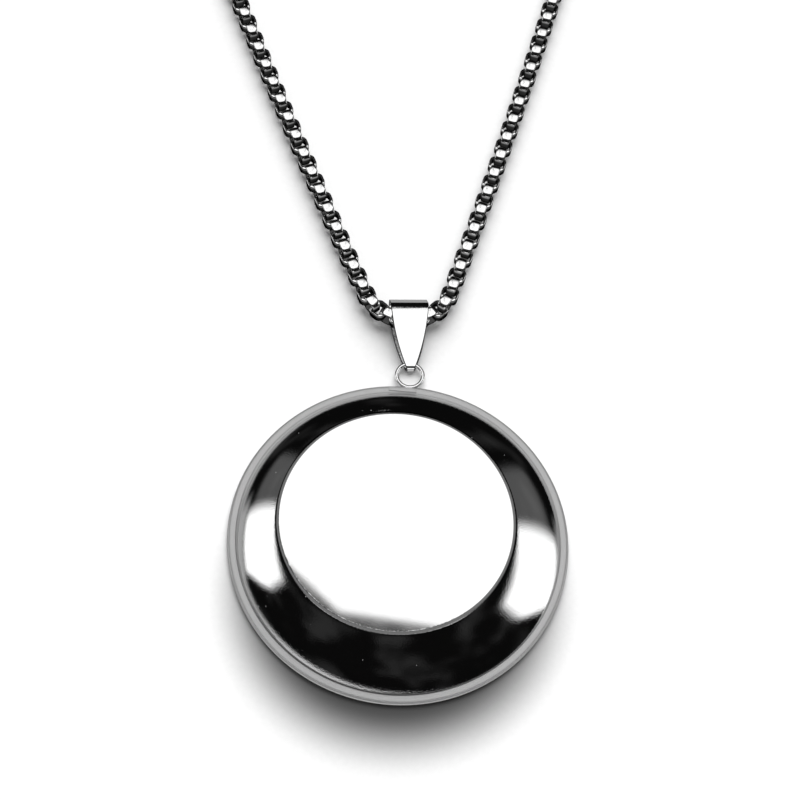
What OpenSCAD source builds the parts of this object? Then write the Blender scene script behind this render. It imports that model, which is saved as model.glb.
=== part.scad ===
// Polished steel medallion on a round box chain, lying flat with its bail and lug ring.
// Millimetres. The underside of the medallion rests on z = 0, and +Y runs towards the lug.

/* [Medallion] */
// Width across the rim
medal_d = 50; // [40:1:60]
// Height of the raised flat face
medal_h = 7.8; // [5:0.1:9]
// Radius of the flat face
face_r = 16.85; // [12:0.05:20]
// Sideways shift of the dome against the rim
dome_shift = 0.4; // [0:0.05:0.5]
// Radius of the small round between face and bevel
face_round = 1.0; // [0.4:0.1:1.5]
// Slope angle of the bevel's normal just below the face
bevel_top_angle = 57; // [50:1:65]
// Radius of the bevel's outward curve
bevel_curve_r = 20; // [15:1:40]
// Thickness of the narrow rim
rim_t = 1.0; // [0.8:0.1:1.4]

/* [Lug ring] */
// Radius to the middle of the ring's wire
lug_r = 2.0; // [1.6:0.05:2.4]
// Wire thickness of the ring
lug_wire = 0.6; // [0.5:0.05:0.65]
// Distance from the medallion's middle to the ring's middle
lug_y = 26.86; // [26:0.02:27]
// Height of the ring's wire above the table
lug_z = 0.8; // [0.75:0.05:0.85]

/* [Bail] */
// Width at the fold
bail_w = 5.9; // [4.5:0.1:6]
// Distance between the small end and the fold
bail_len = 8.2; // [8:0.05:11]
// Distance from the fold on to the back corner
bail_back = 2.45; // [2.2:0.05:3]
// Strip thickness
bail_t = 0.4; // [0.35:0.05:0.45]
// Height of the fold above the table
bail_h = 4.35; // [4.3:0.05:4.8]
// Outside radius of the fold over the chain
fold_r = 1.8; // [1.6:0.05:1.9]
// Outside radius of the corner at the back of the bail
back_corner_r = 0.9; // [0.8:0.05:1.2]
// Outside radius of the small end round the ring
small_end_r = 0.8; // [0.8:0.05:0.9]
// Angle of the bail to the medallion's own axis
bail_turn = 5.5; // [-12:0.5:12]

/* [Chain] */
// Length of the whole necklace loop with its clasp
necklace_len = 600; // [500:10:700]
// Size of a link, along and across
link_size = 2.8; // [2.6:0.05:3.2]
// Wall thickness of a link
link_t = 0.38; // [0.34:0.02:0.42]
// Width of the strip that a link is made from
link_w = 1.6; // [1.4:0.05:1.65]
// Round of a link's outer corners
link_round = 1.0; // [0.5:0.05:1.1]
// Distance between links on the straight runs
pitch_leg = 1.86; // [1.8:0.01:1.88]
// Distance between links in the bend through the bail
pitch_bend = 1.68; // [1.64:0.01:1.72]
// Links on each side of the middle one that are separate solids
front_links = 38; // [30:1:60]
// Radius of the bend through the bail
bend_r = 6.9; // [6.8:0.1:9]
// Angle of the two legs to the bail's axis beside the bend
leg_angle = 20.5; // [20:0.5:30]
// Angle of the two legs further up
leg_end_angle = 18; // [15:0.5:19.5]

/* [Clasp] */
// Diameter of the barrel clasp
clasp_d = 4.4; // [4:0.1:6]
// Length of the barrel clasp
clasp_len = 13; // [10:0.5:18]
// Depth of the socket at each end
socket_deep = 3.0; // [2:0.1:4]
// Wall of the socket
socket_wall = 0.4; // [0.3:0.05:0.6]

/* [Hidden] */
$fn = 48;

medal_r = medal_d / 2;
rim_r = rim_t / 2;

// bevel circle, tangent to the small round under the face
round_cx = face_r;
round_cz = medal_h - face_round;
touch_x = round_cx + face_round * cos(bevel_top_angle);
touch_z = round_cz + face_round * sin(bevel_top_angle);
bevel_cx = touch_x - bevel_curve_r * cos(bevel_top_angle);
bevel_cz = touch_z - bevel_curve_r * sin(bevel_top_angle);
dome_sunk = 0.3;

// small plate that solders the ring to the rim
plate_size = [4.2, 0.6, 0.35];
plate_sunk = 0.2;
plate_back = 0.95;
plate_left = 0.95;

// bail side profile: small end, back corner and fold are round and joined by tangents
end_inset = 0.4;
end_y = lug_y + lug_r - end_inset;
fold_at = [bail_len, bail_h - fold_r];
back_at = [bail_len + bail_back, back_corner_r];
small_at = [0, small_end_r];
to_fold = fold_at - small_at;
to_back = back_at - fold_at;
leaf_angle = 90 + atan2(to_fold[1], to_fold[0]) + asin((fold_r - small_end_r) / norm(to_fold));
back_angle = atan2(to_back[1], to_back[0]) + acos((fold_r - back_corner_r) / norm(to_back));
function touch(centre, r, angle) = centre + r * [cos(angle), sin(angle)];
side_arc_r = 30;
side_arc_y = bail_len + 2.8;
side_arc_x = bail_w / 2 - sqrt(side_arc_r * side_arc_r - 1.8 * 1.8);

// round bars stay this much inside the faces that they would only just touch
hair = 0.01;

// route of half the loop: bend, leg, straight, round, short straight at the clasp
half_len = necklace_len / 2;
bend_deg = 90 - leg_angle;
bend_len = bend_r * bend_deg * PI / 180;
leg_len = 66;
leg_turn = leg_angle - leg_end_angle;
leg_r = leg_len / (leg_turn * PI / 180);
clasp_run = 8;
dir2 = 90 - leg_end_angle;
bend_end = [bend_r * sin(bend_deg), bend_r * (1 - cos(bend_deg))];
leg_end = bend_end + leg_r * [sin(dir2) - sin(bend_deg), cos(bend_deg) - cos(dir2)];
round_k = (180 - dir2) * PI / 180 / sin(dir2);
rest_len = half_len - bend_len - leg_len - clasp_run;
run_len = (rest_len - round_k * (leg_end[0] - clasp_run)) / (1 + round_k * cos(dir2));
run_end = leg_end + run_len * [cos(dir2), sin(dir2)];
round_r = (run_end[0] - clasp_run) / sin(dir2);
round_len = rest_len - run_len;
top_v = run_end[1] + round_r * (cos(dir2) + 1);

s1 = bend_len;
s2 = s1 + leg_len;
s3 = s2 + run_len;
s4 = s3 + round_len;

// position across, along and direction at a distance s from the middle of the front
function route_half(s) =
    s < s1 ? let(a = s / bend_r * 180 / PI)
        [bend_r * sin(a), bend_r * (1 - cos(a)), a]
    : s < s2 ? let(a = bend_deg + (s - s1) / leg_r * 180 / PI)
        [bend_end[0] + leg_r * (sin(a) - sin(bend_deg)),
         bend_end[1] + leg_r * (cos(bend_deg) - cos(a)), a]
    : s < s3 ? [leg_end[0] + (s - s2) * cos(dir2), leg_end[1] + (s - s2) * sin(dir2), dir2]
    : s < s4 ? let(a = dir2 + (s - s3) / round_r * 180 / PI)
        [run_end[0] + round_r * (sin(a) - sin(dir2)),
         run_end[1] + round_r * (cos(dir2) - cos(a)), a]
    : [clasp_run - (s - s4), top_v, 180];

// the chain passes over the bail's lower leaf, lies on the table and rises into the clasp
table_z = link_size / 2;
leaf_gap = 0.15;
bail_z = bail_t + leaf_gap + link_size / 2;
drop_from = 3.4;
drop_to = 15;
rise_from = half_len - clasp_len / 2 - 30;
rise_len = 20;
function ease(k) = let(m = min(1, max(0, k))) m * m * (3 - 2 * m);
function chain_z(s) = table_z
    + (bail_z - table_z) * (1 - ease((s - drop_from) / (drop_to - drop_from)))
    + (clasp_d / 2 - table_z) * ease((s - rise_from) / rise_len);
function chain_slope(s) = atan((chain_z(s + 0.05) - chain_z(s - 0.05)) / 0.1);

// where the chain crosses the bail, measured from the fold's middle
cross_v = -0.8;

bend_count = ceil(bend_len / pitch_bend);
function link_s(i) = min(i, bend_count) * pitch_bend + max(0, i - bend_count) * pitch_leg;
front_end = link_s(front_links) + link_size / 2;
link_hole_round = 0.3;

// rings of the plain round stretches further up, with a small gap at each end
back_start = front_end + 0.2;
back_stop = half_len - clasp_len / 2 + socket_deep - 0.3;
back_rings = 34;
back_sides = 8;
back_r = link_size / 2 / cos(180 / back_sides);

module bail_frame() {
    translate([0, end_y, 0])
        rotate([0, 0, bail_turn])
            children();
}

module chain_frame() {
    bail_frame()
        translate([0, bail_len + cross_v, 0])
            children();
}

module dome_section() {
    intersection() {
        translate([bevel_cx, bevel_cz])
            circle(r = bevel_curve_r);
        translate([0, rim_t - dome_sunk])
            square([medal_r, touch_z - rim_t + dome_sunk]);
    }
    translate([0, rim_t - dome_sunk])
        square([face_r, medal_h - rim_t + dome_sunk]);
    translate([round_cx, round_cz])
        circle(r = face_round - hair);
}

// the dome sits a little to one side of the rim
module dome() {
    translate([-dome_shift, 0, 0])
        rotate_extrude()
            dome_section();
}

module rim() {
    rotate_extrude() {
        square([medal_r - rim_r, rim_t]);
        translate([medal_r - rim_r, rim_r])
            circle(r = rim_r - hair / 2);
    }
}

module medallion() {
    color([0.78, 0.79, 0.8]) {
        rim();
        dome();
        translate([0, lug_y, lug_z])
            rotate_extrude()
                translate([lug_r, 0])
                    circle(r = lug_wire / 2);
        translate([-plate_left - plate_size[0] / 2, lug_y - lug_r - plate_back, rim_t - plate_sunk])
            cube(plate_size);
    }
}

// a round bar across the bail and a little past its sides
module cross_bar(r, centre) {
    translate([-bail_w / 2 - 1, centre[0], centre[1]])
        rotate([0, 90, 0])
            cylinder(h = bail_w + 2, r = r);
}

// the space between the bars of the side shape, closed by their tangents, all drawn in by d
module cross_core(d) {
    translate([-bail_w / 2 - 1, 0, 0])
        rotate([90, 0, 90])
            linear_extrude(height = bail_w + 2)
                polygon([
                    [0, d],
                    [back_at[0], d],
                    touch(back_at, back_corner_r - d, back_angle),
                    touch(fold_at, fold_r - d, back_angle),
                    touch(fold_at, fold_r - d, leaf_angle),
                    touch(small_at, small_end_r - d, leaf_angle)
                ]);
}

module across_bail(d) {
    cross_bar(small_end_r - d - hair, small_at);
    cross_bar(back_corner_r - d - hair, back_at);
    cross_bar(fold_r - d - hair, fold_at);
    cross_core(d);
}

module bail_plan() {
    intersection() {
        translate([-bail_w / 2, -small_end_r - 1])
            square([bail_w, back_at[0] + small_end_r + 3]);
        translate([side_arc_x, side_arc_y])
            circle(r = side_arc_r);
        translate([-side_arc_x, side_arc_y])
            circle(r = side_arc_r);
    }
}

module bail() {
    color([0.8, 0.81, 0.82])
        bail_frame()
            difference() {
                intersection() {
                    across_bail(0);
                    translate([0, 0, -1])
                        linear_extrude(height = bail_h + 2)
                            bail_plan();
                }
                across_bail(bail_t);
            }
}

// a square with round corners, given half its width
module rounded_square(half, r) {
    translate([-half, -half + r])
        square([2 * half, 2 * (half - r)]);
    translate([-half + r, -half])
        square([2 * (half - r), 2 * half]);
    for (x = [-1, 1])
        for (y = [-1, 1])
            translate([x * (half - r), y * (half - r)])
                circle(r = r);
}

module link() {
    translate([0, 0, -link_w / 2])
        linear_extrude(height = link_w)
            difference() {
                rounded_square(link_size / 2, link_round);
                rounded_square(link_size / 2 - link_t, link_hole_round);
            }
}

module place_link(i) {
    side = i < 0 ? -1 : 1;
    s = link_s(abs(i));
    p = route_half(s);
    translate([side * p[0], p[1], chain_z(s)])
        rotate([0, 0, side * p[2]])
            rotate([0, -side * chain_slope(s), 0])
                rotate([abs(i) % 2 == 0 ? 90 : 0, 0, 0])
                    link();
}

module chain_front() {
    color([0.7, 0.71, 0.72])
        chain_frame()
            for (i = [-front_links:front_links])
                place_link(i);
}

// one plain stretch on one side, a ring of points at each step
function back_s(k) = back_start + (back_stop - back_start) * k / (back_rings - 1);
function ring_points(k, side) = let(p = route_half(back_s(k)))
    [for (j = [0:back_sides - 1]) let(a = 360 * (j + 0.5) / back_sides)
        [side * (p[0] - back_r * cos(a) * sin(p[2])),
         p[1] + back_r * cos(a) * cos(p[2]),
         chain_z(back_s(k)) + back_r * sin(a)]];
function stretch_points(side) = [for (k = [0:back_rings - 1]) each ring_points(k, side)];
function quad(k, j, side) = let(
        a = k * back_sides + j,
        b = k * back_sides + (j + 1) % back_sides,
        c = b + back_sides,
        d = a + back_sides)
    side > 0 ? [a, b, c, d] : [d, c, b, a];
function cap(k, side) = [for (j = [0:back_sides - 1])
    k * back_sides + (side > 0 ? back_sides - 1 - j : j)];
function stretch_faces(side) = concat(
    [cap(0, side)],
    [cap(back_rings - 1, -side)],
    [for (k = [0:back_rings - 2]) for (j = [0:back_sides - 1]) quad(k, j, side)]);

module chain_back() {
    color([0.7, 0.71, 0.72])
        chain_frame()
            for (side = [-1, 1])
                polyhedron(points = stretch_points(side), faces = stretch_faces(side));
}

module clasp() {
    color([0.74, 0.75, 0.76])
        chain_frame()
            translate([-clasp_len / 2, top_v, clasp_d / 2])
                rotate([0, 90, 0])
                    difference() {
                        cylinder(h = clasp_len, d = clasp_d);
                        translate([0, 0, -1])
                            cylinder(h = socket_deep + 1, d = clasp_d - 2 * socket_wall);
                        translate([0, 0, clasp_len - socket_deep])
                            cylinder(h = socket_deep + 1, d = clasp_d - 2 * socket_wall);
                    }
}

medallion();
bail();
chain_front();
chain_back();
clasp();
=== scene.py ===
import math
import bpy
from mathutils import Matrix, Vector


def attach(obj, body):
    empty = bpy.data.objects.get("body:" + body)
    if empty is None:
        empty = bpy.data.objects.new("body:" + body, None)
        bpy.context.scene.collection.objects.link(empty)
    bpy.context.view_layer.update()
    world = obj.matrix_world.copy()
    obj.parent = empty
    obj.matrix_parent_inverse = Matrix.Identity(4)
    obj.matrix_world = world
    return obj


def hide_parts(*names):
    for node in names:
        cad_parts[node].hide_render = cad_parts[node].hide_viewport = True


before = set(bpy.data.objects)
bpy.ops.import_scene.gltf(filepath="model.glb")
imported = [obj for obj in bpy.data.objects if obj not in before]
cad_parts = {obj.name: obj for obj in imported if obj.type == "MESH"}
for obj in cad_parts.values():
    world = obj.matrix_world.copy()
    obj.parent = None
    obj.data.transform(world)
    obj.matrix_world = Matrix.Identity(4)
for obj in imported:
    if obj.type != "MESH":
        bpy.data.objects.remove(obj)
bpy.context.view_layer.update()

# Pieces are modelled in millimetres at the origin and set down in metres.
MM = 0.001

# Medallion, with a shallow groove between its rim and the foot of its dome
RIM_RADIUS = 25.0
RIM_THICK = 1.0
BACK_INSET = 1.0
GROOVE_EDGE = 23.86
GROOVE_WIDTH = 0.26
GROOVE_SLOPE = 0.08
GROOVE_DEPTH = 0.1
DOME_FOOT = 0.1
DOME_HEIGHT = 7.8
FACE_RADIUS = 16.85
FACE_SHIFT = 0.75
FACE_ROUND = 1.0
SPECK_APART = 0.9
BEVEL_TOP = math.radians(57)
BEVEL_CURVE = 20.0
TURNS = 192
LIP_STEPS = 12
BEVEL_STEPS = 20
ROUND_STEPS = 6
# Rows this far inside the flat face's edge keep its shading flat
FLAT_ROWS = (0.1, 0.6)

# Lug ring, and the plate that it is soldered to
LUG_RADIUS = 2.0
LUG_WIRE = 0.6
LUG_Y = 26.86
LUG_Z = 0.8
PLATE_WIDTH = 4.2
PLATE_DEPTH = 0.6
PLATE_HEIGHT = 0.35
PLATE_SUNK = 0.2
PLATE_LEFT = 0.95
PLATE_BACK = 0.95

# Bail
BAIL_WIDTH = 5.9
BAIL_LENGTH = 8.2
BAIL_BACK = 2.45
BAIL_THICK = 0.4
BAIL_HEIGHT = 4.35
FOLD_RADIUS = 1.8
BACK_CORNER = 0.9
SMALL_END_RADIUS = 0.8
BAIL_TURN = math.radians(5.5)
SIDE_ARC = 30.0
SIDE_ARC_MIDDLE = 2.8
SIDE_ARC_START = 1.8
BAIL_EDGE = 0.12
FIRST_ROW = 0.02
END_INSET = 0.4
END_Y = LUG_Y + LUG_RADIUS - END_INSET

# Chain
LOOP_LENGTH = 600.0
LINK_SIZE = 2.8
LINK_THICK = 0.38
LINK_WIDTH = 1.6
LINK_ROUND = 1.0
CROWN_RADIUS = 8.0
END_NARROWER = 0.2
NARROW_FROM = 0.3
FRONT_EDGE_ROUND = 0.1
PITCH_LEG = 1.86
PITCH_BEND = 1.68
FRONT_LINKS = 38
BEND_RADIUS = 6.9
LEG_ANGLE = math.radians(20.5)
LEG_END_ANGLE = math.radians(18)
LEG_LENGTH = 66.0
CLASP_RUN = 8.0
CHAIN_SHIFT = -0.8
LEAF_GAP = 0.15
DROP_FROM = 3.4
DROP_TO = 15.0
SLOPE_SPAN = 0.1

# Clasp, and how the chain rises to it
CLASP_WIDTH = 4.4
CLASP_LENGTH = 13.0
SOCKET_DEPTH = 3.0
SOCKET_WALL = 0.4
SOCKET_CLEAR = 0.3
RISE_AHEAD = 30.0
RISE_LENGTH = 20.0

# Studio and camera; the table's painted shadow is a round patch that reaches out in front of the disc
TABLE_SIZE = 6.0
TABLE_DROP = 0.02
SHADE_SHIFT = 8.0
SHADE_FROM = 17.6
SHADE_TO = 28.2
AMBIENT = 0.3
KEY_STRENGTH = 3.9
KEY_SPREAD = 64
KEY_HEIGHT = 45
KEY_ASIDE = 0.05
FRAME_PIXELS = 800
FOCAL_PIXELS = 1800
SENSOR_WIDTH = 36
CAMERA_PLACE = Vector((-9.25, -99.87, 244.78))
CAMERA_RIGHT = Vector((0.99600, 0.06243, 0.06408))
CAMERA_UP = Vector((-0.08449, 0.89171, 0.44471))

# Vertices this close in a measure belong to one row
SAME_ROW = 6e-4


# Modelling helpers

def clear_selection():
    """Leaves edit mode and deselects every object."""
    if bpy.context.object and bpy.context.object.mode != "OBJECT":
        bpy.ops.object.mode_set(mode="OBJECT")
    bpy.ops.object.select_all(action="DESELECT")


def started(name):
    """The object just added or joined, named."""
    piece = bpy.context.object
    piece.name = name
    piece.data.name = name
    return piece


def pick(piece, kind, test):
    """Selects the vertices, edges or faces that pass a test, in edit mode."""
    bpy.ops.object.mode_set(mode="OBJECT")
    bpy.context.tool_settings.mesh_select_mode = [kind == "vertices", kind == "edges", kind == "polygons"]
    mesh = piece.data
    for group in (mesh.vertices, mesh.edges, mesh.polygons):
        group.foreach_set("select", [False] * len(group))
    for part in getattr(mesh, kind):
        part.select = test(part)
    bpy.ops.object.mode_set(mode="EDIT")


def add_modifier(piece, kind, **settings):
    """Adds one modifier and applies it."""
    modifier = piece.modifiers.new(kind.title(), kind)
    for key, value in settings.items():
        setattr(modifier, key, value)
    bpy.context.view_layer.objects.active = piece
    bpy.ops.object.modifier_apply(modifier=modifier.name)


def smooth(piece, angle):
    """Shades a piece smooth, with edges sharper than the angle left crisp."""
    clear_selection()
    piece.select_set(True)
    bpy.context.view_layer.objects.active = piece
    bpy.ops.object.shade_smooth_by_angle(angle=math.radians(angle))


def tidy_normals(merge=1e-4):
    """Merges doubles in edit mode and turns all faces outwards."""
    bpy.ops.mesh.select_all(action="SELECT")
    bpy.ops.mesh.remove_doubles(threshold=merge)
    bpy.ops.mesh.normals_make_consistent(inside=False)


def set_down(piece, matrix=Matrix.Identity(4)):
    """Puts a finished piece where it lies and brings it from millimetres to metres."""
    piece.data.transform(Matrix.Scale(MM, 4) @ matrix @ piece.matrix_world)
    piece.matrix_world = Matrix.Identity(4)


# Route of the chain, as in the part's source

BEND_TURN = math.pi / 2 - LEG_ANGLE
BEND_LENGTH = BEND_RADIUS * BEND_TURN
LEG_RADIUS = LEG_LENGTH / (LEG_ANGLE - LEG_END_ANGLE)
RUN_TURN = math.pi / 2 - LEG_END_ANGLE
BEND_END = Vector((math.sin(BEND_TURN), 1 - math.cos(BEND_TURN))) * BEND_RADIUS
LEG_END = BEND_END + LEG_RADIUS * Vector((
    math.sin(RUN_TURN) - math.sin(BEND_TURN), math.cos(BEND_TURN) - math.cos(RUN_TURN)))
ROUND_SHARE = (math.pi - RUN_TURN) / math.sin(RUN_TURN)
REST_LENGTH = LOOP_LENGTH / 2 - BEND_LENGTH - LEG_LENGTH - CLASP_RUN
RUN_LENGTH = (REST_LENGTH - ROUND_SHARE * (LEG_END.x - CLASP_RUN)) / (1 + ROUND_SHARE * math.cos(RUN_TURN))
RUN_END = LEG_END + RUN_LENGTH * Vector((math.cos(RUN_TURN), math.sin(RUN_TURN)))
ROUND_RADIUS = (RUN_END.x - CLASP_RUN) / math.sin(RUN_TURN)
CLASP_UP = RUN_END.y + ROUND_RADIUS * (math.cos(RUN_TURN) + 1)
TABLE_Z = LINK_SIZE / 2
LEAF_Z = BAIL_THICK + LEAF_GAP + LINK_SIZE / 2
CLASP_END = LOOP_LENGTH / 2 - CLASP_LENGTH / 2
RISE_FROM = CLASP_END - RISE_AHEAD
CHAIN_END = CLASP_END + SOCKET_DEPTH - SOCKET_CLEAR


def along_half(s):
    """Place across and up the loop, and direction, at a distance s from the middle of the front."""
    if s < BEND_LENGTH:
        turn = s / BEND_RADIUS
        return BEND_RADIUS * math.sin(turn), BEND_RADIUS * (1 - math.cos(turn)), turn
    s -= BEND_LENGTH
    if s < LEG_LENGTH:
        turn = BEND_TURN + s / LEG_RADIUS
        return (BEND_END.x + LEG_RADIUS * (math.sin(turn) - math.sin(BEND_TURN)),
                BEND_END.y + LEG_RADIUS * (math.cos(BEND_TURN) - math.cos(turn)), turn)
    s -= LEG_LENGTH
    if s < RUN_LENGTH:
        return LEG_END.x + s * math.cos(RUN_TURN), LEG_END.y + s * math.sin(RUN_TURN), RUN_TURN
    s -= RUN_LENGTH
    if s < REST_LENGTH - RUN_LENGTH:
        turn = RUN_TURN + s / ROUND_RADIUS
        return (RUN_END.x + ROUND_RADIUS * (math.sin(turn) - math.sin(RUN_TURN)),
                RUN_END.y + ROUND_RADIUS * (math.cos(RUN_TURN) - math.cos(turn)), turn)
    return CLASP_RUN - (s - REST_LENGTH + RUN_LENGTH), CLASP_UP, math.pi


def ease(k):
    """0 below 0, 1 above 1, smooth between."""
    k = min(1.0, max(0.0, k))
    return k * k * (3 - 2 * k)


def chain_height(s):
    """Height of the chain's middle: on the bail's leaf at first, then on the table, last in the clasp."""
    over_leaf = (LEAF_Z - TABLE_Z) * (1 - ease((s - DROP_FROM) / (DROP_TO - DROP_FROM)))
    into_clasp = (CLASP_WIDTH / 2 - TABLE_Z) * ease((s - RISE_FROM) / RISE_LENGTH)
    return TABLE_Z + over_leaf + into_clasp


def link_distance(i):
    """Distance of link i from the middle of the front."""
    in_bend = math.ceil(BEND_LENGTH / PITCH_BEND)
    return min(i, in_bend) * PITCH_BEND + max(0, i - in_bend) * PITCH_LEG


BAIL_FRAME = Matrix.Translation((0, END_Y, 0)) @ Matrix.Rotation(BAIL_TURN, 4, "Z")
CHAIN_FRAME = BAIL_FRAME @ Matrix.Translation((0, BAIL_LENGTH + CHAIN_SHIFT, 0))


def link_place(i):
    """Where link i lies: every second link stands on edge."""
    side = -1 if i < 0 else 1
    s = link_distance(abs(i))
    across, up, turn = along_half(s)
    ahead, behind = chain_height(s + SLOPE_SPAN / 2), chain_height(s - SLOPE_SPAN / 2)
    slope = math.atan((ahead - behind) / SLOPE_SPAN)
    on_edge = Matrix.Rotation(math.pi / 2 if i % 2 == 0 else 0, 4, "X")
    return (CHAIN_FRAME @ Matrix.Translation((side * across, up, chain_height(s)))
            @ Matrix.Rotation(side * turn, 4, "Z") @ Matrix.Rotation(-side * slope, 4, "Y") @ on_edge)


# Medallion

def medallion_outline():
    """Radius and height of each ring of the round body, from the back's edge up to the flat face."""
    lip = RIM_THICK / 2
    rows = [(RIM_RADIUS - lip - BACK_INSET, 0.0)]
    for k in range(LIP_STEPS + 1):
        a = -math.pi / 2 + math.pi * k / LIP_STEPS
        rows.append((RIM_RADIUS - lip + lip * math.cos(a), lip + lip * math.sin(a)))
    rows += [
        (GROOVE_EDGE, RIM_THICK),
        (GROOVE_EDGE - GROOVE_SLOPE, RIM_THICK - GROOVE_DEPTH * 0.3),
        (GROOVE_EDGE - GROOVE_SLOPE * 2, RIM_THICK - GROOVE_DEPTH),
        (GROOVE_EDGE - GROOVE_WIDTH, RIM_THICK - GROOVE_DEPTH),
    ]
    touch_r = FACE_RADIUS + FACE_ROUND * math.cos(BEVEL_TOP)
    touch_z = DOME_HEIGHT - FACE_ROUND + FACE_ROUND * math.sin(BEVEL_TOP)
    centre_r = touch_r - BEVEL_CURVE * math.cos(BEVEL_TOP)
    centre_z = touch_z - BEVEL_CURVE * math.sin(BEVEL_TOP)
    foot = math.asin((RIM_THICK + DOME_FOOT - centre_z) / BEVEL_CURVE)
    for k in range(BEVEL_STEPS + 1):
        a = foot + (BEVEL_TOP - foot) * k / BEVEL_STEPS
        rows.append((centre_r + BEVEL_CURVE * math.cos(a), centre_z + BEVEL_CURVE * math.sin(a)))
    for k in range(1, ROUND_STEPS + 1):
        a = BEVEL_TOP + (math.pi / 2 - BEVEL_TOP) * k / ROUND_STEPS
        rows.append((FACE_RADIUS + FACE_ROUND * math.cos(a),
                     DOME_HEIGHT - FACE_ROUND + FACE_ROUND * math.sin(a)))
    rows += [(FACE_RADIUS - inside, DOME_HEIGHT) for inside in FLAT_ROWS]
    return rows


def face_drift(z):
    """The dome leans a little: its flat face sits left of the rim's middle."""
    return -FACE_SHIFT * max(0.0, z - RIM_THICK) / (DOME_HEIGHT - RIM_THICK)


def make_medallion():
    """Built up from one ring: each row of the outline is extruded and opened or closed to its radius."""
    rows = medallion_outline()
    clear_selection()
    bpy.ops.mesh.primitive_circle_add(vertices=TURNS, radius=rows[0][0], fill_type="NGON",
                                      location=(0, 0, rows[0][1]))
    piece = started("medallion_body")
    bpy.ops.object.transform_apply(location=True, rotation=True, scale=True)
    bpy.ops.object.mode_set(mode="EDIT")
    bpy.ops.mesh.select_mode(type="EDGE")
    bpy.ops.mesh.select_all(action="SELECT")
    for (r0, z0), (r1, z1) in zip(rows, rows[1:]):
        x0, x1 = face_drift(z0), face_drift(z1)
        bpy.ops.mesh.extrude_edges_move(TRANSFORM_OT_translate={"value": (x1 - x0, 0, z1 - z0)})
        bpy.ops.transform.resize(value=(r1 / r0, r1 / r0, 1), center_override=(x1, 0, z1))
    bpy.ops.mesh.edge_face_add()
    tidy_normals(1e-5)
    bpy.ops.object.mode_set(mode="OBJECT")
    smooth(piece, 30)
    set_down(piece)
    return piece


def make_lug_ring():
    """The round wire ring at the top of the rim."""
    clear_selection()
    bpy.ops.mesh.primitive_torus_add(location=(0, LUG_Y, LUG_Z), major_radius=LUG_RADIUS,
                                     minor_radius=LUG_WIRE / 2, major_segments=72, minor_segments=20)
    piece = started("lug_ring")
    smooth(piece, 60)
    set_down(piece)
    return piece


def make_solder_plate():
    """A thin tongue that joins the ring's wire to the rim, with soft edges."""
    clear_selection()
    y = LUG_Y - LUG_RADIUS - PLATE_BACK + PLATE_DEPTH / 2
    z = RIM_THICK - PLATE_SUNK + PLATE_HEIGHT / 2
    bpy.ops.mesh.primitive_cube_add(size=1, location=(-PLATE_LEFT, y, z),
                                    scale=(PLATE_WIDTH, PLATE_DEPTH, PLATE_HEIGHT))
    piece = started("solder_plate")
    bpy.ops.object.transform_apply(location=True, rotation=True, scale=True)
    add_modifier(piece, "BEVEL", width=0.06, segments=3, limit_method="ANGLE")
    smooth(piece, 35)
    set_down(piece)
    return piece


# Bail

def bail_half_width(y):
    """Half of the strip's width at a distance y from the small end towards the fold."""
    inset = BAIL_WIDTH / 2 - math.sqrt(SIDE_ARC ** 2 - SIDE_ARC_START ** 2)
    drop = y - (BAIL_LENGTH + SIDE_ARC_MIDDLE)
    return min(BAIL_WIDTH / 2, inset + math.sqrt(SIDE_ARC ** 2 - drop ** 2))


def extend(y, z):
    """Extrudes the open end of the strip by one row."""
    bpy.ops.mesh.extrude_edges_move(TRANSFORM_OT_translate={"value": (0, y, z)})


def extend_leaf(length, y, z, steps=12, margin=0.06):
    """Straight stretch in rows, with a close row at each end so that the flat stays flat."""
    inner = (length - 2 * margin) / steps
    for part in [margin] + [inner] * steps + [margin]:
        extend(part * y, part * z)


def bend(steps, turn, y, z):
    """Turns the open end of the strip round a line across it."""
    bpy.ops.mesh.spin(steps=steps, angle=turn, center=(0, y, z), axis=(-1, 0, 0))


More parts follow.
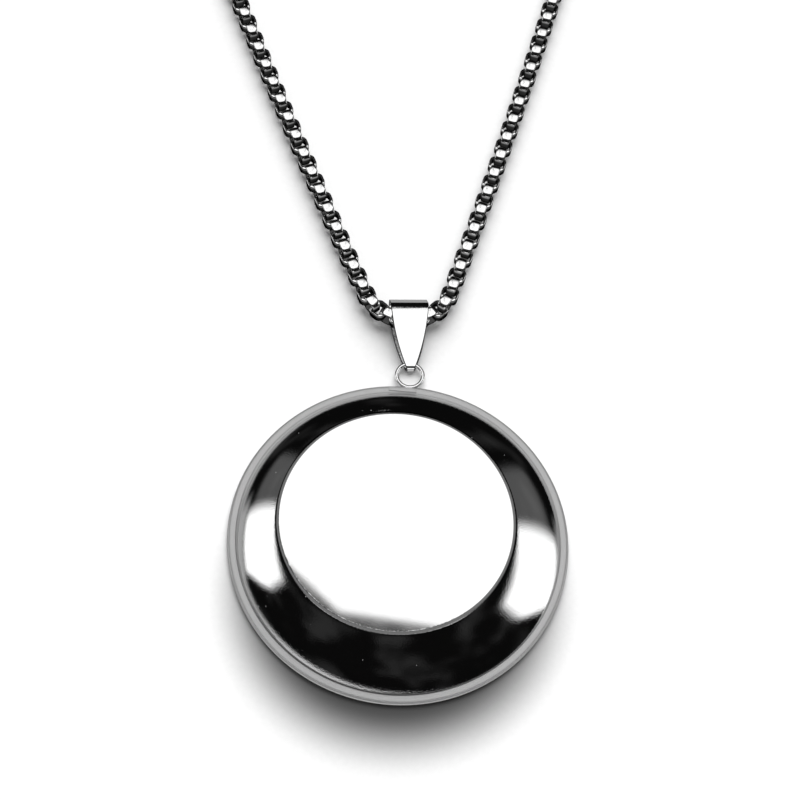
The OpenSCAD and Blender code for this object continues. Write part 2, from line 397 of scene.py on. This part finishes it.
def make_bail():
    """One strip laid flat, bent up and over the chain, brought back and bent round the ring."""
    fold_z = BAIL_HEIGHT - FOLD_RADIUS
    back_y = BAIL_LENGTH + BAIL_BACK
    rise = fold_z - SMALL_END_RADIUS
    span = math.hypot(BAIL_LENGTH, rise)
    lean = math.atan2(rise, BAIL_LENGTH) + math.asin((FOLD_RADIUS - SMALL_END_RADIUS) / span)
    drop = BACK_CORNER - fold_z
    back_span = math.hypot(BAIL_BACK, drop)
    back_lean = (math.pi / 2 - math.atan2(drop, BAIL_BACK)
                 - math.acos((FOLD_RADIUS - BACK_CORNER) / back_span))
    clear_selection()
    bpy.ops.mesh.primitive_plane_add(size=BAIL_WIDTH)
    piece = started("bail_strip")
    bpy.ops.object.mode_set(mode="EDIT")
    bpy.ops.mesh.select_all(action="SELECT")
    bpy.ops.transform.resize(value=(1, FIRST_ROW / BAIL_WIDTH, 1), center_override=(0, 0, 0))
    bpy.ops.transform.translate(value=(0, FIRST_ROW / 2, 0))
    ends = piece.data.vertices
    pick(piece, "edges", lambda edge: all(ends[v].co.y > FIRST_ROW * 0.75 for v in edge.vertices))
    extend_leaf(back_y - FIRST_ROW, 1, 0)
    bend(16, math.pi - back_lean, back_y, BACK_CORNER)
    back_leaf = math.sqrt(back_span ** 2 - (FOLD_RADIUS - BACK_CORNER) ** 2)
    extend_leaf(back_leaf, -math.cos(back_lean), math.sin(back_lean), steps=4)
    bend(16, back_lean + lean, BAIL_LENGTH, fold_z)
    front_leaf = math.sqrt(span ** 2 - (FOLD_RADIUS - SMALL_END_RADIUS) ** 2)
    extend_leaf(front_leaf, -math.cos(lean), -math.sin(lean))
    bend(20, math.pi - lean, 0, SMALL_END_RADIUS)
    tidy_normals(1e-3)
    bpy.ops.object.mode_set(mode="OBJECT")
    narrow_rows(piece)
    piece.data.materials.append(None)
    piece.data.materials.append(None)
    add_modifier(piece, "SOLIDIFY", thickness=BAIL_THICK, offset=-1, use_even_offset=True,
                 material_offset_rim=1)
    add_modifier(piece, "BEVEL", width=BAIL_EDGE, segments=3, limit_method="ANGLE",
                 angle_limit=math.radians(50), material=1)
    smooth(piece, 35)
    add_modifier(piece, "WEIGHTED_NORMAL", keep_sharp=True, weight=100)
    set_down(piece, BAIL_FRAME)
    return piece


def narrow_rows(piece):
    """Draws the strip in, row by row, to the bail's outline seen from above."""
    vertices = piece.data.vertices
    for y in sorted({round(v.co.y, 3) for v in vertices}):
        pick(piece, "vertices", lambda v: abs(v.co.y - y) < SAME_ROW)
        narrow = bail_half_width(y) * 2 / BAIL_WIDTH
        bpy.ops.transform.resize(value=(narrow, 1, 1), center_override=(0, y, 0))
    bpy.ops.object.mode_set(mode="OBJECT")


# Chain

def make_link(name, corner_steps, crown_rows, edge_round):
    """A short crowned tube with a rounded square outline: its outer faces bulge, its hole is plain."""
    clear_selection()
    bpy.ops.mesh.primitive_cube_add(size=1, scale=(LINK_SIZE, LINK_SIZE, LINK_WIDTH))
    piece = started(name)
    bpy.ops.object.transform_apply(location=True, rotation=True, scale=True)
    bpy.ops.object.mode_set(mode="EDIT")
    pick(piece, "polygons", lambda face: abs(face.normal.z) > 0.9)
    bpy.ops.mesh.delete(type="ONLY_FACE")
    bpy.ops.object.mode_set(mode="OBJECT")
    add_modifier(piece, "BEVEL", width=LINK_ROUND, segments=corner_steps, limit_method="ANGLE",
                 angle_limit=math.radians(60), use_clamp_overlap=False)
    ends = piece.data.vertices

    def upright(edge):
        first, second = (ends[v].co for v in edge.vertices)
        return abs(first.z - second.z) > 0.1

    pick(piece, "edges", upright)
    bpy.ops.mesh.subdivide(number_cuts=crown_rows - 1)
    half = LINK_WIDTH / 2
    for row in range(crown_rows + 1):
        z = -half + LINK_WIDTH * row / crown_rows
        drawn_in = 1 - (CROWN_RADIUS - math.sqrt(CROWN_RADIUS ** 2 - z * z)) / (LINK_SIZE / 2)
        pick(piece, "vertices", lambda v: abs(v.co.z - z) < SAME_ROW)
        bpy.ops.transform.resize(value=(drawn_in, drawn_in, 1), center_override=(0, 0, z))
    edge_size = LINK_SIZE / 2 - CROWN_RADIUS + math.sqrt(CROWN_RADIUS ** 2 - half * half)
    hole = (LINK_SIZE / 2 - LINK_THICK) / edge_size
    pick(piece, "edges", lambda edge: all(abs(abs(ends[v].co.z) - half) < SAME_ROW for v in edge.vertices))
    bpy.ops.mesh.extrude_edges_move(TRANSFORM_OT_translate={"value": (0, 0, 0)})
    bpy.ops.transform.resize(value=(hole, hole, 1), center_override=(0, 0, 0))
    bpy.ops.mesh.bridge_edge_loops()
    tidy_normals(1e-4)
    draw_in_ends(piece)
    bpy.ops.object.mode_set(mode="OBJECT")
    if edge_round:
        add_modifier(piece, "BEVEL", width=edge_round, segments=2, limit_method="ANGLE",
                     angle_limit=math.radians(40))
    smooth(piece, 42)
    mark_cut_faces(piece)
    return piece


def mark_cut_faces(piece):
    """Notes on each face of a link: 0 on the polished outside, 0.5 on the cut edges, 1 in the hole; the cut
    edges and the hole get painted shade.
    """
    marks = piece.data.attributes.new("cut", "FLOAT", "FACE")
    for face, mark in zip(piece.data.polygons, marks.data):
        outward = face.normal.x * face.center.x + face.normal.y * face.center.y
        mark.value = 0.0 if outward > 0.3 else 1.0 if outward < -0.3 else 0.5


def draw_in_ends(piece):
    """Makes the strip narrower where the link turns round its neighbours."""
    vertices = piece.data.vertices
    for x in sorted({round(abs(v.co.x), 3) for v in vertices}):
        pick(piece, "vertices", lambda v: abs(abs(v.co.x) - x) < SAME_ROW)
        narrow = 1 - END_NARROWER * ease((x - NARROW_FROM) / (LINK_SIZE / 2 - NARROW_FROM))
        bpy.ops.transform.resize(value=(1, 1, narrow), center_override=(0, 0, 0))


def string_of_links(name, model, numbers):
    """Copies one link to each of its places and joins the copies."""
    copies = []
    for i in numbers:
        copy = bpy.data.objects.new(f"{name}_{len(copies)}", model.data.copy())
        copy.data.transform(link_place(i))
        bpy.context.scene.collection.objects.link(copy)
        copies.append(copy)
    clear_selection()
    for copy in copies:
        copy.select_set(True)
    bpy.context.view_layer.objects.active = copies[0]
    bpy.ops.object.join()
    piece = started(name)
    mark_flanks(piece)
    set_down(piece)
    return piece


def mark_flanks(piece):
    """Notes how far each spot of the chain faces sideways: 1 on its flanks, 0 on top and underneath; the
    flanks get painted shade.
    """
    marks = piece.data.attributes.new("flank_painted_shade", "FLOAT", "POINT")
    for vertex, mark in zip(piece.data.vertices, marks.data):
        mark.value = (1 - ease((vertex.normal.z - 0.1) / 0.4)) * ease((vertex.normal.z + 0.75) / 0.3)


def back_numbers():
    """Numbers of the links between the front stretch and the clasp, on both sides."""
    numbers = []
    i = FRONT_LINKS + 1
    while link_distance(i) + LINK_SIZE / 2 < CHAIN_END:
        numbers += [i, -i]
        i += 1
    return numbers


# Clasp

def make_clasp():
    """A plain barrel with a socket at each end and softened rims."""
    clear_selection()
    bpy.ops.mesh.primitive_cylinder_add(vertices=48, radius=CLASP_WIDTH / 2, depth=CLASP_LENGTH)
    piece = started("barrel_clasp")
    bpy.ops.object.mode_set(mode="EDIT")
    pick(piece, "polygons", lambda face: abs(face.normal.z) > 0.9)
    bpy.ops.mesh.inset(thickness=SOCKET_WALL, depth=0)
    for side in (-1, 1):
        pick(piece, "polygons", lambda face: face.normal.z * side > 0.9 and len(face.vertices) > 4)
        bpy.ops.mesh.extrude_region_move(TRANSFORM_OT_translate={"value": (0, 0, -side * SOCKET_DEPTH)})
    bpy.ops.mesh.select_all(action="SELECT")
    bpy.ops.mesh.normals_make_consistent(inside=False)
    bpy.ops.object.mode_set(mode="OBJECT")
    add_modifier(piece, "BEVEL", width=0.15, segments=3, limit_method="ANGLE", angle_limit=math.radians(50))
    smooth(piece, 40)
    lay = (CHAIN_FRAME @ Matrix.Translation((0, CLASP_UP, CLASP_WIDTH / 2))
           @ Matrix.Rotation(math.pi / 2, 4, "Y"))
    set_down(piece, lay)
    return piece


# Shader arithmetic

class Value:
    """One shader value. Arithmetic on it adds Math nodes."""

    def __init__(self, board, socket):
        self.board = board
        self.socket = socket

    def maths(self, operation, *others):
        return self.board.node("ShaderNodeMath", {"operation": operation}, [self, *others])

    def __add__(self, other):
        return self.maths("ADD", other)

    def __sub__(self, other):
        return self.maths("SUBTRACT", other)

    def __mul__(self, other):
        return self.maths("MULTIPLY", other)

    def __rsub__(self, other):
        return self.board.node("ShaderNodeMath", {"operation": "SUBTRACT"}, [other, self])

    __radd__ = __add__
    __rmul__ = __mul__


class Board:
    """A node tree and the one way in which nodes are added to it."""

    def __init__(self, tree):
        self.tree = tree
        tree.nodes.clear()

    def node(self, kind, settings, values, out=0):
        """Adds a node. Values is a list in socket order, or a dictionary by socket name."""
        node = self.tree.nodes.new(kind)
        for key, value in settings.items():
            setattr(node, key, value)
        pairs = values.items() if isinstance(values, dict) else enumerate(values)
        for key, value in pairs:
            if isinstance(value, Value):
                self.tree.links.new(value.socket, node.inputs[key])
            else:
                node.inputs[key].default_value = value
        return Value(self, node.outputs[out] if len(node.outputs) else None)

    def step(self, value, low, high):
        """0 below low, 1 above high, smooth between."""
        return self.node("ShaderNodeMapRange", {"interpolation_type": "SMOOTHSTEP"},
                         {"Value": value, "From Min": low, "From Max": high})

    def noise(self, place, size, detail=2.0):
        """Cloudy noise whose blotches are about size millimetres wide."""
        return self.node("ShaderNodeTexNoise", {}, {
            "Vector": place, "Scale": 1 / (size * MM), "Detail": detail})

    def mix(self, factor, first, second):
        """A blend of two colours."""
        return self.node("ShaderNodeMix", {"data_type": "RGBA"}, {0: factor, 6: first, 7: second}, out=2)


def grey(level):
    """A neutral colour, from 0 for black to 1 for white."""
    return (level, level, level, 1.0)


def new_finish(name):
    """An empty material and the board for its nodes."""
    material = bpy.data.materials.new(name)
    material.use_nodes = True
    return material, Board(material.node_tree)


def close_finish(board, sockets):
    """Adds the surface shader with what feeds its sockets."""
    shader = board.node("ShaderNodeBsdfPrincipled", {}, sockets)
    board.node("ShaderNodeOutputMaterial", {}, {"Surface": shader})


def object_place(board):
    """Each point's own place, in metres."""
    return board.node("ShaderNodeTexCoord", {}, {}, out="Object")


def scratch_height(board, place, turn, size):
    """Fine hairlines that run one way: noise drawn out along one direction."""
    drawn = board.node("ShaderNodeMapping", {}, {
        "Vector": place, "Rotation": (0, 0, turn), "Scale": (1, 0.03, 1)})
    return board.noise(drawn, size, 1.0)


def distance_from(board, place, middle_x):
    """Distance from an upright line through the given place on the X axis."""
    moved = board.node("ShaderNodeVectorMath", {"operation": "SUBTRACT"}, [place, (middle_x * MM, 0, 0)])
    flat = board.node("ShaderNodeVectorMath", {"operation": "MULTIPLY"}, [moved, (1, 1, 0)])
    return board.node("ShaderNodeVectorMath", {"operation": "LENGTH"}, [flat], out="Value")


def mirror_steel():
    """Mirror-polished disc, satin on the rim, with a painted dark reflection round the face, a lip painted
    lighter towards the front as a painted sheen, and a few dust specks.
    """
    material, board = new_finish("mirror_steel")
    place = object_place(board)
    from_rim_middle = distance_from(board, place, 0)
    from_face_middle = distance_from(board, place, -FACE_SHIFT)
    rim = board.step(from_rim_middle, (GROOVE_EDGE - 0.32) * MM, (GROOVE_EDGE - 0.12) * MM)
    y, z = (board.node("ShaderNodeSeparateXYZ", {}, [place], out=axis) for axis in "YZ")
    upper_side = board.step(z, RIM_THICK * 0.5 * MM, RIM_THICK * 0.9 * MM)
    bevel = upper_side * board.step(from_face_middle, (FACE_RADIUS - 0.18) * MM, (FACE_RADIUS - 0.03) * MM)
    # Painted dark reflection: a thin near-black ring where the flat face meets the bevel
    painted_dark_reflection = bevel * (1 - board.step(from_face_middle, (FACE_RADIUS + 0.3) * MM, (FACE_RADIUS + 0.5) * MM))
    peel = board.noise(place, 0.22, 2.0)
    haze = board.noise(place, 2.5, 3.0)
    fine = board.noise(place, 0.12, 1.0)
    from_speck, speck_place = (board.node("ShaderNodeTexVoronoi", {}, {
        "Vector": place, "Scale": 1 / (SPECK_APART * MM)}, out=out) for out in ("Distance", "Position"))
    chosen = board.node("ShaderNodeTexWhiteNoise", {"noise_dimensions": "3D"}, {"Vector": speck_place})
    speck = (1 - board.step(from_speck, 0.05, 0.09)) * board.step(chosen, 0.90, 0.91)
    roughness = 0.025 + haze * 0.02 + rim * (0.36 + fine * 0.06)
    # Painted sheen: the rim's outer lip is painted grey, and lighter towards the front
    lip = board.step(from_rim_middle, (RIM_RADIUS - 0.35) * MM, (RIM_RADIUS - 0.2) * MM)
    lip_painted_front_sheen = board.mix(board.step(y * -1, 8 * MM, 20 * MM), grey(0.46), grey(0.95))
    colour = board.mix(rim, grey(0.93), board.mix(lip, grey(0.43), lip_painted_front_sheen))
    # Dust specks, then the painted dark reflection round the face
    colour = board.mix(painted_dark_reflection * 0.9, board.mix(speck, colour, grey(0.55)), grey(0.04))
    height = (peel - 0.5) * (0.02 + bevel * 1.96) + fine * rim * 1.5
    bump = board.node("ShaderNodeBump", {}, {
        "Strength": 1.0, "Distance": 0.0045 * MM, "Height": height})
    close_finish(board, {
        "Base Color": colour, "Metallic": 1 - speck - rim * 0.35, "Roughness": roughness + speck * 0.4,
        "Normal": bump})
    return material


def small_part_steel(name, level, rough):
    """Polished steel of the small parts, at the given brightness, with a slight unevenness and hairlines.
    """
    material, board = new_finish(name)
    place = object_place(board)
    clouds = board.noise(place, 0.5, 2.0)
    hairs = scratch_height(board, place, 0.4, 0.05)
    bump = board.node("ShaderNodeBump", {}, {
        "Strength": 1.0, "Distance": 0.002 * MM, "Height": clouds + hairs * 0.2})
    colour = board.mix(clouds, grey(level * 0.92), grey(level))
    close_finish(board, {
        "Base Color": colour, "Metallic": 1.0, "Roughness": rough + clouds * 0.05, "Normal": bump})
    return material


def chain_steel():
    """Polished links, with painted shade on the cut edges, in the hole and on the flanks, where little
    light comes.
    """
    material, board = new_finish("link_steel")
    place = object_place(board)
    cut = board.node("ShaderNodeAttribute", {"attribute_name": "cut"}, {}, out="Fac")
    # Painted shade: the cut edges and the hole are painted near black
    edge = board.step(cut, 0.2, 0.3)
    hole = board.step(cut, 0.7, 0.8)
    flank_painted_shade = board.node("ShaderNodeAttribute", {"attribute_name": "flank_painted_shade"}, {}, out="Fac")
    clouds = board.noise(place, 0.5, 2.0)
    bump = board.node("ShaderNodeBump", {}, {
        "Strength": 1.0, "Distance": 0.002 * MM, "Height": clouds})
    # Painted shade: near black on the cut edges, then in the hole and on the flanks
    colour = board.mix(edge, board.mix(clouds, grey(0.86), grey(0.94)), grey(0.03))
    colour = board.mix(hole.maths("MAXIMUM", flank_painted_shade), colour, grey(0.05))
    close_finish(board, {
        "Base Color": colour, "Metallic": 1.0, "Roughness": 0.14 + edge * 0.1 + clouds * 0.04,
        "Specular Tint": grey(0.15), "Normal": bump})
    return material


def table_finish():
    """Plain pale board with a barely visible grain, with a painted shadow in front of the disc and painted
    shade inside the links.
    """
    material, board = new_finish("pale_table")
    place = object_place(board)
    grain = board.noise(place, 0.8, 3.0)
    # Painted shade: the board is painted near black where it is closed in, as inside the links
    openness_for_painted_shade = board.node("ShaderNodeAmbientOcclusion", {"samples": 8}, {"Distance": 1.6 * MM}, out="AO")
    # Painted shadow: a round patch centred in front of the disc, painted darker towards its middle
    in_front = board.node("ShaderNodeVectorMath", {"operation": "ADD"}, [place, (0, SHADE_SHIFT * MM, 0)])
    reach = board.node("ShaderNodeVectorMath", {"operation": "LENGTH"}, [in_front], out="Value")
    outside_painted_shadow = board.step(reach, SHADE_FROM * MM, SHADE_TO * MM)
    colour = board.mix(grain, grey(0.86), grey(0.93))
    colour = board.mix(outside_painted_shadow, grey(0.09), colour)
    colour = board.mix(board.step(openness_for_painted_shade, 0.08, 0.4), grey(0.04), colour)
    close_finish(board, {"Base Color": colour, "Roughness": 0.9, "Specular IOR Level": 0.0})
    return material


def put_on(piece, materials, node):
    """Gives a piece its finishes and hands it over in place of the source's node."""
    numbers = [face.material_index for face in piece.data.polygons]
    piece.data.materials.clear()
    for material in materials:
        piece.data.materials.append(material)
    piece.data.polygons.foreach_set("material_index", numbers)
    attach(piece, "root")
    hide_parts(node)


# Studio

def lay_table():
    """The pale table top, a hair below the necklace."""
    clear_selection()
    bpy.ops.mesh.primitive_plane_add(size=TABLE_SIZE, location=(0, 0, -TABLE_DROP * MM))
    table = started("table_top")
    table.data.transform(table.matrix_world)
    table.matrix_world = Matrix.Identity(4)
    table.data.materials.append(table_finish())
    table.visible_glossy = False


def window(board, value, low, high, soft):
    """1 between low and high, fading to 0 over soft on either side."""
    return board.step(value, low - soft, low + soft) * (1 - board.step(value, high - soft, high + soft))


def overhead_panel(board, north, across):
    """The white panel above and behind, with two dark shapes before it: one low and left, one narrow."""
    sideways = across.maths("ABSOLUTE")
    low_edge = (19.83 - across * 0.07).maths("MAXIMUM", 20.05 - across * 0.79)
    low_shape = board.step(low_edge - north, -0.08, 0.08) * board.step(north, 17.6, 18.4) * (
        1 - board.step(sideways, 4, 6))
    narrow_shape = window(board, across, 0.45, 2.1, 0.35) * board.step(north, 25.8, 28.8)
    panel = window(board, north, -22, 42, 4) * (1 - board.step(sideways, 22, 38))
    return panel * (1 - low_shape * 0.95) * (1 - narrow_shape * 0.97) * 1.25


def side_panels(board, turn, height):
    """A white panel on each side, whose lower edge rises towards the front, and a faint one behind each."""
    lower_edge = -20 + (turn - 88).maths("MAXIMUM", 0) * 1.5
    beside = window(board, turn, 64, 104, 4) * board.step(height - lower_edge, -3, 3) * (
        1 - board.step(height, 18, 26))
    behind = window(board, turn, 40, 64, 3) * window(board, height, -14, 24, 4)
    return beside * 1.2 + behind * 0.08


def pale_boards(board, turn, height, y, z):
    """What the steel sees of the table: a grey board below, brighter in front, and one on each side."""
    beside = window(board, turn, 58, 92, 5) * (1 - board.step(height, -24, -20))
    below = board.step(z * -1 - y * 0.24, 0.37, 0.43)
    return beside.maths("MAXIMUM", below) * (0.36 + board.step(y * -1, 0.2, 0.8) * 0.22)


def light_room():
    """A dark room with white panels and grey boards, which only the steel sees; angles are in degrees."""
    world = bpy.data.worlds.new("studio")
    bpy.context.scene.world = world
    world.use_nodes = True
    board = Board(world.node_tree)
    look = board.node("ShaderNodeTexCoord", {}, {}, out="Generated")
    x, y, z = (board.node("ShaderNodeSeparateXYZ", {}, [look], out=axis) for axis in "XYZ")
    degrees = math.degrees(1)
    height = z.maths("ARCSINE") * degrees
    turn = x.maths("ABSOLUTE").maths("ARCTAN2", y) * degrees
    north = y.maths("ARCTAN2", z) * degrees
    across = x.maths("ARCSINE") * degrees
    glow = board.noise(look, 400, 2.0)
    dark_room = 0.003 + board.step(glow, 0.5, 0.7) * 0.02
    panels = dark_room + overhead_panel(board, north, across) + side_panels(board, turn, height)
    seen_in_steel = panels.maths("MAXIMUM", pale_boards(board, turn, height, y, z))
    in_steel = board.node("ShaderNodeLightPath", {}, {}, out="Is Glossy Ray")
    direct = board.node("ShaderNodeLightPath", {}, {}, out="Is Camera Ray")
    strength = in_steel * seen_in_steel + direct * 0.95 + (1 - in_steel) * (1 - direct) * AMBIENT
    background = board.node("ShaderNodeBackground", {}, {"Color": grey(1.0), "Strength": strength})
    board.node("ShaderNodeOutputWorld", {}, {"Surface": background})


def add_key_light():
    """The big soft light behind the necklace, which throws the shadows towards the camera."""
    light = bpy.data.lights.new("soft_light", "SUN")
    light.energy = KEY_STRENGTH
    light.angle = math.radians(KEY_SPREAD)
    lamp = bpy.data.objects.new("soft_light", light)
    bpy.context.scene.collection.objects.link(lamp)
    height = math.radians(KEY_HEIGHT)
    towards = Vector((KEY_ASIDE, math.cos(height), math.sin(height)))
    lamp.rotation_euler = towards.to_track_quat("Z", "Y").to_euler()
    lamp.visible_glossy = False


def set_camera():
    """Seen from about 63 degrees above the table, turned a little, through a long lens."""
    back = CAMERA_RIGHT.cross(CAMERA_UP).normalized()
    up = back.cross(CAMERA_RIGHT).normalized()
    camera = bpy.data.objects.new("camera", bpy.data.cameras.new("camera"))
    camera.data.sensor_width = SENSOR_WIDTH
    camera.data.lens = SENSOR_WIDTH * FOCAL_PIXELS / FRAME_PIXELS
    camera.data.clip_start = 0.01
    axes = Matrix((CAMERA_RIGHT, up, back)).transposed().to_4x4()
    camera.matrix_world = Matrix.Translation(CAMERA_PLACE * MM) @ axes
    bpy.context.scene.collection.objects.link(camera)
    bpy.context.scene.camera = camera


# The studio, the finishes and the pieces

set_camera()
lay_table()
light_room()
add_key_light()
bpy.context.scene.view_settings.view_transform = "Standard"

disc_steel = mirror_steel()
bail_steel = small_part_steel("bail_steel", 0.93, 0.03)
# Painted shade: the bail's cut edges are steel painted near black
cut_edge_painted_shade = small_part_steel("cut_edge_painted_shade", 0.04, 0.3)
ring_steel = small_part_steel("ring_steel", 0.97, 0.2)
link_steel = chain_steel()
clasp_steel = small_part_steel("clasp_steel", 0.88, 0.08)

put_on(make_medallion(), [disc_steel], "medallion")
lug_ring = make_lug_ring()
solder_plate = make_solder_plate()
bail_strip = make_bail()
put_on(lug_ring, [ring_steel], "medallion")
put_on(solder_plate, [disc_steel], "medallion")
put_on(bail_strip, [bail_steel, cut_edge_painted_shade], "bail")
for part in (lug_ring, solder_plate, bail_strip):
    part.visible_glossy = False

front_link = make_link("front_link", 6, 4, FRONT_EDGE_ROUND)
back_link = make_link("back_link", 2, 2, 0)
front_links = string_of_links("front_links", front_link, range(-FRONT_LINKS, FRONT_LINKS + 1))
back_links = string_of_links("back_links", back_link, back_numbers())
put_on(front_links, [link_steel], "chain_front")
put_on(back_links, [link_steel], "chain_back")
for part in (front_links, back_links):
    part.visible_glossy = False
for model in (front_link, back_link):
    bpy.data.objects.remove(model)
put_on(make_clasp(), [clasp_steel], "clasp")
